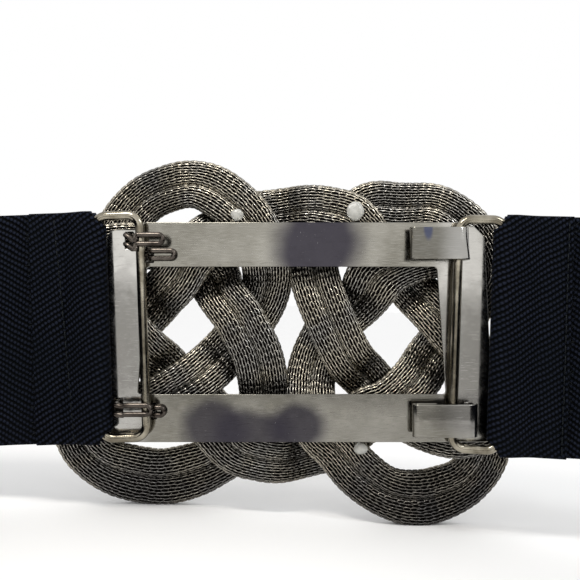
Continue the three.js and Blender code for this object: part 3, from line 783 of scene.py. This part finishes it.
def tube_line(place, step):
    """Centre line of one of the two tubes and its spread."""
    middle, spread = strand_line(step)
    side, _ = frames_along(middle, TO_WEARER, True)
    return middle + side * (place * spread * TUBE_PITCH / 2)[:, None], spread


def squared(wave):
    """A sine or cosine that gives a section with fuller shoulders than an ellipse."""
    return np.sign(wave) * np.abs(wave) ** SQUARENESS


def even_turns(turns):
    """Angles changed so that even steps in them are even steps along the tube's section."""
    angle = np.linspace(0, 2 * np.pi, 721)
    wave = squared(np.stack([np.cos(angle), np.sin(angle)], -1))
    run = run_along(wave * (SEEN_TUBE_WIDTH, TUBE_THICKNESS))
    return np.interp(turns / (2 * np.pi) % 1, run / run[-1], angle)


def knit_tube(name, place, material):
    """Courses of interlocked wire loops round one tube, in pieces along it that stay under the limit."""
    centre, spread = tube_line(place, KNIT_STEP)
    side, up = frames_along(centre, TO_WEARER, True)
    run = run_along(np.vstack([centre, centre[:1]]))
    rows = round(run[-1] / ROW_PITCH)
    pitch = run[-1] / rows
    theta = 2 * np.pi * np.arange(WALES * STITCH_STEPS) / STITCH_STEPS
    shifts = draw.normal(0, 1, (2, rows, WALES))
    wale = np.arange(WALES * STITCH_STEPS) / STITCH_STEPS
    nearest = np.floor(wale).astype(int)
    blend = wale - nearest
    shifts = shifts[:, :, nearest] * (1 - blend) + shifts[:, :, (nearest + 1) % WALES] * blend
    along = (np.arange(rows)[:, None] + 0.5) * pitch + LOOP_HEIGHT * np.cos(theta) + ROW_UNEVEN * shifts[0]
    angle = (theta + 2 * np.pi * LOOP_SWAY * np.sin(2 * theta)) / WALES
    angle = even_turns(angle + SWAY * np.sin(along / SWAY_LENGTH) + TURN_UNEVEN * shifts[1])
    sunk = (1 + np.cos(2 * theta)) / 2
    inset = WIRE_RADIUS + 2 * LOOP_DEPTH * sunk + INSET_UNEVEN * np.abs(shifts[1])
    wrapped = along % run[-1]

    def at(values):
        looped = np.vstack([values, values[:1]])
        return np.stack([np.interp(wrapped, run, looped[:, k]) for k in range(looped.shape[1])], -1)

    c, s, u, w = at(centre), at(side), at(up), at(spread[:, None])
    outward = s * np.cos(angle)[..., None] + u * np.sin(angle)[..., None]
    reach_side = (SEEN_TUBE_WIDTH / 2 * w[..., 0] - inset) * squared(np.cos(angle))
    reach_up = (TUBE_THICKNESS / 2 - inset) * squared(np.sin(angle))
    wire = c + s * reach_side[..., None] + u * reach_up[..., None]
    forward = unit(np.roll(wire, -1, 1) - np.roll(wire, 1, 1))
    normal = unit(outward - forward * np.sum(outward * forward, -1, keepdims=True))
    across = np.cross(forward, normal)
    section = ellipse(2 * WIRE_RADIUS, 2 * WIRE_RADIUS, WIRE_SIDES)
    skin = wire[:, :, None] + section[:, :1] * normal[:, :, None] + section[:, 1:] * across[:, :, None]
    course = ring_quads(skin.shape[1], WIRE_SIDES, True)
    # Painted light and shade: each wire is lighter on its outward side and darker where its loop sinks into
    # the tube
    lift = (section[:, 0] / WIRE_RADIUS + 1) / 2
    painted_light_share = (1 - SUNK_PAINTED_SHADE * sunk)[:, None] * lift
    painted_light_share = np.stack([painted_light_share, 0 * painted_light_share, 0 * painted_light_share], -1).reshape(-1, 3)
    row_size = skin.shape[1] * WIRE_SIDES
    rows_a_piece = math.ceil(rows / math.ceil(rows * len(course) * 2 / TRIANGLES_A_PIECE))
    for count, first in enumerate(range(0, rows, rows_a_piece), 1):
        part = skin[first:first + rows_a_piece]
        quads = (course[None] + np.arange(len(part))[:, None, None] * row_size).reshape(-1, 4)
        painted_shading = {"painted_light_share": np.tile(painted_light_share, (len(part), 1))}
        mesh_piece(f"{name}_knit_{count}", part.reshape(-1, 3), quads, material, attributes=painted_shading)


def knit_core(name, place, material):
    """Dark body inside one tube's knit."""
    inset = 2 * (2 * WIRE_RADIUS + LOOP_DEPTH)
    centre, spread = tube_line(place, CORE_STEP)
    side, up = frames_along(centre, TO_WEARER, True)
    round_section = squared(ellipse(2, 2, CORE_SIDES)) / 2
    width = (SEEN_TUBE_WIDTH * spread - inset + SEAM_FILL)[:, None]
    height = TUBE_THICKNESS - inset + 0 * width
    centre = centre - side * (place * SEAM_FILL / 2)
    section = np.stack([round_section[:, 0] * width, round_section[:, 1] * height], -1)
    points, quads, _ = sweep(centre, side, up, section, True)
    core = mesh_piece(f"{name}_core", points, quads, material)
    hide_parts(name)


# Rings, from the buckle's frame: x runs outwards from the inner bar
def ring_matrix(end):
    hand = end["hand"]
    place = Matrix.Translation((hand * end["inner"], end["rise"], RING_DEPTH))
    swing = Matrix.Rotation(math.radians(-hand * end["swing"]), 4, "Y")
    lean = Matrix.Rotation(math.radians(-hand * end["lean"]), 4, "Z")
    return np.array(place @ swing @ lean)


def placed(matrix, points):
    return np.asarray(points) @ matrix[:3, :3].T + matrix[:3, 3]


def make_ring(name, end, material):
    half = RING_HEIGHT * end["open"] / 2
    far = RING_WIDTH - RING_CORNER
    near = RING_CORNER
    high, low = half - near, near - half
    points = []
    for x, y, start in ((far, high, 0), (near, high, 90), (near, low, 180), (far, low, 270)):
        for step in range(RING_STEPS + 1):
            turn = math.radians(start + 90 * step / RING_STEPS)
            points.append((x + RING_CORNER * math.cos(turn), y + RING_CORNER * math.sin(turn), 0))
    line = spaced(np.array(points) * (end["hand"], 1, 1), RING_POINTS, closed=True)
    line = placed(ring_matrix(end), line)
    side, up = frames_along(line, TO_WEARER, True)
    rings, quads, _ = sweep(line, side, up, ellipse(RING_WIRE, RING_WIRE, RING_SIDES), True)
    ring = mesh_piece(name + "_wire", rings, quads, material)
    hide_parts(name)


# Staples
def strip_rise(piece):
    if piece["strip"] == "top":
        return PLATE_TOP - piece["inset"] * TOP_STRIP
    return PLATE_BOTTOM + piece["inset"] * BOTTOM_STRIP


def staple_places(staple):
    """Places along the plate of the arm's end, the fold, the second slot and the tail's end."""
    return [PLATE_LEFT + share * STAPLE_LENGTH for share in staple["places"]]


def staple_share(staple, across):
    _, fold, slot, _ = staple_places(staple)
    return np.clip((across - fold) / (slot - fold), 0, 1)


def make_staple(name, staple, material):
    """One closed loop of wire along a line over the bar, behind the plate and out along it."""
    arm, fold, slot, tail = staple_places(staple)
    corners = [
        (arm, STAPLE_ARM),
        (fold, STAPLE_ARM),
        (fold, STAPLE_BACK),
        (slot, STAPLE_BACK),
        (slot, STAPLE_FRONT),
        (tail, STAPLE_FRONT),
    ]
    spine = spaced(softened(corners, [STAPLE_BEND] * 4, 8), STAPLE_POINTS)
    ahead = unit(np.gradient(spine, axis=0))
    passed = np.arange(len(spine)) > len(spine) * STAPLE_ARM_SHARE
    share = np.where(passed, staple_share(staple, spine[:, 0]), 0)
    half = LOOP_HALF + (TAIL_HALF - LOOP_HALF) * share
    drop = staple["drop"] * STAPLE_LENGTH
    turn = np.linspace(0, np.pi, 13)[1:-1]
    track = [(i, 1, 0) for i in range(len(spine))]
    track += [(len(spine) - 1, math.cos(a), math.sin(a)) for a in turn]
    track += [(i, -1, 0) for i in reversed(range(len(spine)))]
    track += [(0, -math.cos(a), -math.sin(a)) for a in turn]
    points = []
    hints = []
    for i, q, over in track:
        x = spine[i, 0] + ahead[i, 0] * over * half[i]
        points.append((x, strip_rise(staple) - drop * share[i] + q * half[i], spine[i, 1]))
        hints.append((-ahead[i, 1], 0, ahead[i, 0]))
    line = np.array(points)
    side, up = frames_along(line, np.array(hints), True)
    rings, quads, _ = sweep(line, side, up, ellipse(STAPLE_WIRE, STAPLE_WIRE, STAPLE_SIDES), True)
    wire = mesh_piece(name + "_wire", rings, quads, material)
    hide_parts(name)


# Back plate
def rounded_loop(corners, steps):
    """Closed outline from rows of x, y and corner radius."""
    line = []
    for i, (x, y, radius) in enumerate(corners):
        before = np.array(corners[i - 1][:2])
        after = np.array(corners[(i + 1) % len(corners)][:2])
        line.extend(rounded(before, np.array((x, y)), after, radius, steps))
    return np.array(line)


def plate_outlines():
    """Outline of the plate, then its window and the four slots for the staples."""
    shoulder = PLATE_LEFT + LEFT_COLUMN - WINDOW_TAPER
    low, high = PLATE_BOTTOM, PLATE_TOP
    outline = [
        (PLATE_LEFT, low, PLATE_CORNER),
        (PLATE_RIGHT + PLATE_FLARE, low, PLATE_CORNER),
        (PLATE_RIGHT, high - PLATE_CORNER - SHOULDER_DROP / 2, 0.5),
        (PLATE_RIGHT - PLATE_CORNER, high - SHOULDER_DROP / 2, 0.5),
        (PLATE_RIGHT - PLATE_CORNER - SHOULDER_DROP, high, 0.5),
        (shoulder + SHOULDER_DROP, high, 0.5),
        (shoulder, high - SHOULDER_DROP, 0.5),
        (PLATE_LEFT, high - SHOULDER_DROP, PLATE_CORNER),
    ]
    left, right = PLATE_LEFT + LEFT_COLUMN, PLATE_RIGHT - RIGHT_COLUMN
    foot, head = low + BOTTOM_STRIP, high - TOP_STRIP
    window = [
        (left, head, WINDOW_CORNER),
        (left - WINDOW_TAPER, foot, WINDOW_CORNER),
        (right + WINDOW_TAPER, foot, WINDOW_CORNER),
        (right, head, WINDOW_CORNER),
    ]
    loops = [outline, window]
    width = STAPLE_WIRE + 2 * SLOT_PLAY
    for staple in STAPLES.values():
        for x in staple_places(staple)[1:3]:
            share = float(staple_share(staple, x))
            half = LOOP_HALF + (TAIL_HALF - LOOP_HALF) * share + width / 2
            y = strip_rise(staple) - staple["drop"] * STAPLE_LENGTH * share
            corners = ((-1, -1), (1, -1), (1, 1), (-1, 1))
            loops.append([(x + a * width / 2, y + b * half, 0.3) for a, b in corners])
    return [rounded_loop(loop, 6) for loop in loops]


def plate_sheet():
    """Points and faces of the flat sheet with its holes and softened edges."""
    data = bpy.data.curves.new("plate_outline", "CURVE")
    data.dimensions = "2D"
    data.fill_mode = "BOTH"
    data.extrude = SHEET / 2 - PLATE_BEVEL
    data.bevel_depth = PLATE_BEVEL
    data.bevel_resolution = 2
    data.offset = -PLATE_BEVEL
    for loop in plate_outlines():
        spline = data.splines.new("POLY")
        spline.points.add(len(loop) - 1)
        flat = np.column_stack([loop, np.zeros(len(loop)), np.ones(len(loop))])
        spline.points.foreach_set("co", flat.ravel())
        spline.use_cyclic_u = True
    holder = linked("plate_outline", data)
    mesh = bpy.data.meshes.new_from_object(holder.evaluated_get(bpy.context.evaluated_depsgraph_get()))
    points = np.zeros(len(mesh.vertices) * 3)
    mesh.vertices.foreach_get("co", points)
    faces = [list(face.vertices) for face in mesh.polygons]
    bpy.data.objects.remove(holder)
    bpy.data.meshes.remove(mesh)
    return points.reshape(-1, 3) + (0, 0, PLATE_MIDDLE), faces


def bar_across(end, rise):
    return end["inner"] + (rise - end["rise"]) * math.tan(math.radians(end["lean"]))


def hook_strip(hook):
    """A strip folded up over the ring's bar and tilted, with its lip curled under."""
    rise = strip_rise(hook)
    tilt = math.radians(hook["tilt"])
    top = HOOK_TOP + HOOK_WIDTH / 2 * math.sin(tilt)
    outer = bar_across(ENDS["right"], rise) + (hook["play"] + 0.5) * RING_WIRE + GAP + SHEET / 2
    tip = outer - hook["reach"] * HOOK_WIDTH
    lip = top - 2 * LIP_RADIUS
    corners = [
        (outer - HOOK_CORNER - SHEET, PLATE_MIDDLE),
        (outer, PLATE_MIDDLE),
        (outer, top),
        (tip, top),
        (tip, lip),
        (tip + LIP_LENGTH, lip),
    ]
    radii = [HOOK_CORNER] * 2 + [LIP_RADIUS] * 2
    line = spaced(softened(corners, radii, HOOK_STEPS), HOOK_POINTS)
    points = np.column_stack([line[:, 0], np.full(len(line), rise), line[:, 1]])
    run = np.linspace(0, line_length(line), len(line))
    turn = tilt * smoothstep(run, HOOK_CORNER, top - PLATE_MIDDLE + HOOK_CORNER)
    side, up = frames_along(points, np.column_stack([0 * turn, np.cos(turn), -np.sin(turn)]), False)
    half, width = SHEET / 2, HOOK_WIDTH / 2
    corners = ((half, -width), (half, width), (-half, width), (-half, -width))
    return sweep(points, side, up, rounded_loop([(*corner, HOOK_EDGE) for corner in corners], 3), False)


def make_plate(material):
    points, faces = plate_sheet()
    flat_faces = len(faces)
    for hook in HOOKS:
        strip, quads, caps = hook_strip(hook)
        start = len(points)
        points = np.vstack([points, strip])
        faces += [[start + k for k in face] for face in [*quads.tolist(), *caps]]
    plate = mesh_piece("plate", points, [], material, caps=faces)
    level = [face for face in plate.data.polygons if face.index < flat_faces and abs(face.normal.y) > 0.999]
    for face in level:
        face.use_smooth = False
    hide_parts("back_plate")


# Elastic band
def gather_share(turn):
    """How much of the full width the band has, at an angle round the bar from its innermost point."""
    return EDGE_SHARE * abs(math.sin(math.radians(turn) / 2) * math.sqrt(2)) ** GATHER_POWER


def edge_share(out):
    return EDGE_SHARE + (1 - EDGE_SHARE) * smoothstep(out, 0, FLAP_DROP / 3)


def end_line():
    """Line of one end in its ring's frame: rows of place out, depth and share of the full width."""
    rows = []
    for out in np.linspace(FLAP_LENGTH, 0, FLAP_ROWS)[:-1]:
        drop = smoothstep(out, 0, FLAP_DROP)
        rows.append((RING_WIDTH + out, EYE_RADIUS + (FLAP_REST - EYE_RADIUS) * drop, edge_share(out)))
    for turn in np.linspace(90, -90, EYE_ROWS):
        angle = math.radians(turn)
        out = RING_WIDTH - EYE_RADIUS * math.cos(angle)
        rows.append((out, EYE_RADIUS * math.sin(angle), gather_share(turn)))
    for out in np.linspace(0, FLAP_LENGTH + PLAIN_STRETCH, PLAIN_ROWS)[1:]:
        rows.append((RING_WIDTH + out, -EYE_RADIUS, edge_share(out)))
    return np.array(rows)


def band_end(end):
    """The rows of one end in the buckle's frame, with their widths and directions."""
    matrix = ring_matrix(end)
    out, depth, share = end_line().T
    points = placed(matrix, np.stack([end["hand"] * out, 0 * out, depth], -1))
    full = BAND_WIDTH * end["open"]
    eye = (RING_HEIGHT - 2 * EYE_INSET) * end["open"]
    return {
        "points": points,
        "widths": eye + (full - eye) * share,
        "leave": matrix[:3, 0] * end["hand"],
        "across": matrix[:3, 1],
        "full": full,
    }


def half_loop(end, depth, steps):
    """From a placed end round to the middle of the back, worked out in row millimetres."""
    last = to_row(end["points"][-1]) / MM
    leave = TURNED @ end["leave"]
    rear = np.array([0, last[1] + depth, BAND_WIDTH / 2])
    along = np.array([np.sign(last[0]), 0, 0])
    handles = last, last + leave * depth * FRONT_HANDLE, rear + along * depth * REAR_HANDLE, rear
    t = np.linspace(0, 1, CURVE_STEPS + 1)[:, None]
    curve = sum(c * t**k * (1 - t) ** (3 - k) * p for k, (c, p) in enumerate(zip((1, 3, 3, 1), handles)))
    return spaced(curve, steps + 1)


def line_length(points):
    return float(np.linalg.norm(np.diff(points, axis=0), axis=1).sum())


def loop_depth(ends):
    """Depth at which the whole belt has its length, found by halving."""
    lasts = [to_row(end["points"][-1]) / MM for end in ends]
    front = np.linalg.norm(lasts[0] - lasts[1])
    low, high = BELT_LENGTH / 20, BELT_LENGTH / 2
    for _ in range(HALVINGS):
        middle = (low + high) / 2
        whole = front + sum(line_length(half_loop(end, middle, CURVE_STEPS)) for end in ends)
        low, high = (middle, high) if whole < BELT_LENGTH else (low, middle)
    return low


def band_rows():
    """Points, widths and across directions from one flap's edge round to the other's."""
    ends = [band_end(end) for end in ENDS.values()]
    lasts = [to_row(end["points"][-1])[1] / MM for end in ends]
    rear_y = sum(lasts) / 2 + loop_depth(ends)
    halves = []
    for end, last_y in zip(ends, lasts):
        loop = half_loop(end, rear_y - last_y, LOOP_ROWS)[1:]
        settle = smoothstep(np.arange(1, LOOP_ROWS + 1) / LOOP_ROWS, 0, SETTLE_SHARE)[:, None]
        level = np.array([0, 0, 1]) @ TURNED
        across = unit(end["across"] * (1 - settle) + level * settle)
        widths = end["full"] + (BAND_WIDTH - end["full"]) * settle[:, 0]
        halves.append((
            np.vstack([end["points"], to_buckle(loop * MM)]),
            np.concatenate([end["widths"], widths]),
            np.vstack([np.broadcast_to(end["across"], (len(end["points"]), 3)), across]),
        ))
    first, second = halves
    return [np.concatenate([a, b[:-1][::-1]]) for a, b in zip(first, second)]


def crease_depth(run, level, whole):
    """How far the cloth sinks where it is pressed by a seam or lies over a fold, at a length and a level."""
    sunk = 0.0
    for label, creases in CREASES.items():
        from_edge = run if label == "left" else whole - run
        for place, slant, reach, depth in creases:
            off = (from_edge - place - slant * level) / reach
            sunk = sunk + depth * np.exp(-off * off)
    return sunk


def make_band(material):
    points, widths, across = band_rows()
    side, up = frames_along(points, across, False)
    run = run_along(points)
    half = BAND_THICKNESS / 2
    columns = np.linspace(-1, 1, COLUMNS)[1:-1]
    arc = np.linspace(0, np.pi, EDGE_POINTS)
    section = []
    for place, width in zip(run, widths):
        reach = width / 2 - half
        face = np.stack([np.full(len(columns), half), columns * reach], -1)
        edge = np.stack([half * np.cos(arc), reach + half * np.sin(arc)], -1)
        inner = -face
        inner[:, 0] += crease_depth(place, inner[:, 1] / (BAND_WIDTH / 2), run[-1])
        section.append(np.vstack([face, edge, inner, -edge]))
    section = np.array(section)
    rings, quads, caps = sweep(points, side, up, section, False)
    level = section[..., 1].ravel()
    weave = np.stack([np.repeat(run, section.shape[1]), level, 0 * level], -1)
    band = mesh_piece("band", rings, quads, material, caps=caps, attributes={"weave": weave})
    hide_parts("elastic_band")
    return band, run[-1]


# Stitches across the flaps and the frayed threads at their cut edges
def flap_point(end, matrix, out, along, lift):
    """A point on a flap: out from the ring's bar, along the bar, and lift above the cloth."""
    drop = smoothstep(out, 0, FLAP_DROP)
    depth = EYE_RADIUS + (FLAP_REST - EYE_RADIUS) * drop + BAND_THICKNESS / 2 + lift
    return placed(matrix, np.stack([end["hand"] * (RING_WIDTH + out), along, depth + 0 * along], -1))


def make_threads(label, end, material):
    """The seams that close one eye and the frayed threads at the flap's edge, as one mesh of fine tubes."""
    matrix = ring_matrix(end)
    half = BAND_WIDTH * end["open"] / 2 - SEAM_INSET
    lines = []
    for out, slant in SEAMS[label]:
        count = round(2 * half / STITCH_PITCH)
        share = np.linspace(0, 1, STITCH_POINTS)
        for i in range(count):
            start = -half + 2 * half * i / count
            along = start + share * (2 * half / count) * STITCH_SHARE
            place = out + slant * along / half + draw.uniform(-STITCH_JITTER, STITCH_JITTER)
            lift = THREAD_RADIUS * (STITCH_RISE * np.sin(np.pi * share) - 1.0)
            lines.append(flap_point(end, matrix, place + 0 * along, along, lift))
    for _ in range(FRAYS):
        share = np.linspace(0, 1, FRAY_POINTS)
        along = draw.uniform(-half, half) + draw.normal(0, 0.5) * share**2
        reach = draw.uniform(*FRAY_REACH)
        place = FLAP_LENGTH - FRAY_REACH[0] + reach * share
        lift = -0.5 * BAND_THICKNESS + draw.uniform(-0.5, 0.5) + 0.35 * share**2
        lines.append(flap_point(end, matrix, place, along, lift))
    points, quads, caps = [], [], []
    for i, line in enumerate(lines):
        radius = THREAD_RADIUS if i < len(lines) - FRAYS else FRAY_RADIUS
        side, up = frames_along(line, matrix[:3, 2], False)
        tube, faces, lids = sweep(line, side, up, ellipse(2 * radius, 2 * radius, THREAD_SIDES), False)
        start = sum(len(part) for part in points)
        points.append(tube)
        quads.append(faces + start)
        caps += [[start + k for k in lid] for lid in lids]
    return mesh_piece("threads_" + label, np.vstack(points), np.vstack(quads), material, caps=caps)


# Beads of glue
def make_bead(name, material):
    middle, size = bead_place(name)
    rows, sides = 22, 32
    polar = np.pi * (np.arange(rows) + 0.5) / rows
    turn = 2 * np.pi * np.arange(sides) / sides
    ball = np.stack([
        np.sin(polar)[:, None] * np.cos(turn),
        np.sin(polar)[:, None] * np.sin(turn),
        np.cos(polar)[:, None] + 0 * turn,
    ], -1).reshape(-1, 3)
    lumps = np.array([noise.noise(Vector(p) * 1.1 + Vector(middle)) for p in ball])
    points = ball * (1 + 0.16 * lumps)[:, None] * size / 2 + middle - (0, 0, 0.5)
    quads = ring_quads(rows, sides, False)[:, ::-1]
    caps = [list(range(sides)), [(rows - 1) * sides + k for k in range(sides)][::-1]]
    bead = mesh_piece(name + "_blob", points, quads, material, caps=caps)
    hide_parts(name)


make_camera()
make_floor()
make_lights()

knit = knit_material()
core = core_material()
for tube, place in (("knot_tube_a", 1), ("knot_tube_b", -1)):
    knit_core(tube, place, core)
    knit_tube(tube, place, knit)

make_plate(plate_material())
ring_finish = wire_material("ring_nickel", colour(0.15, 0.132, 0.098), colour(0.36, 0.33, 0.265), 0.1)
for label, end in ENDS.items():
    make_ring("ring_" + label, end, ring_finish)
staple_finish = wire_material("staple_steel", colour(0.035, 0.029, 0.025), colour(0.13, 0.113, 0.098), 0.14)
for label, staple in STAPLES.items():
    make_staple(label, staple, staple_finish)
band, band_length = make_band(elastic_material())
thread = thread_material()
threads = [make_threads(label, end, thread) for label, end in ENDS.items()]
glue = glue_material()
for label in BEADS:
    make_bead(label, glue)

bpy.context.scene.view_settings.view_transform = "Standard"
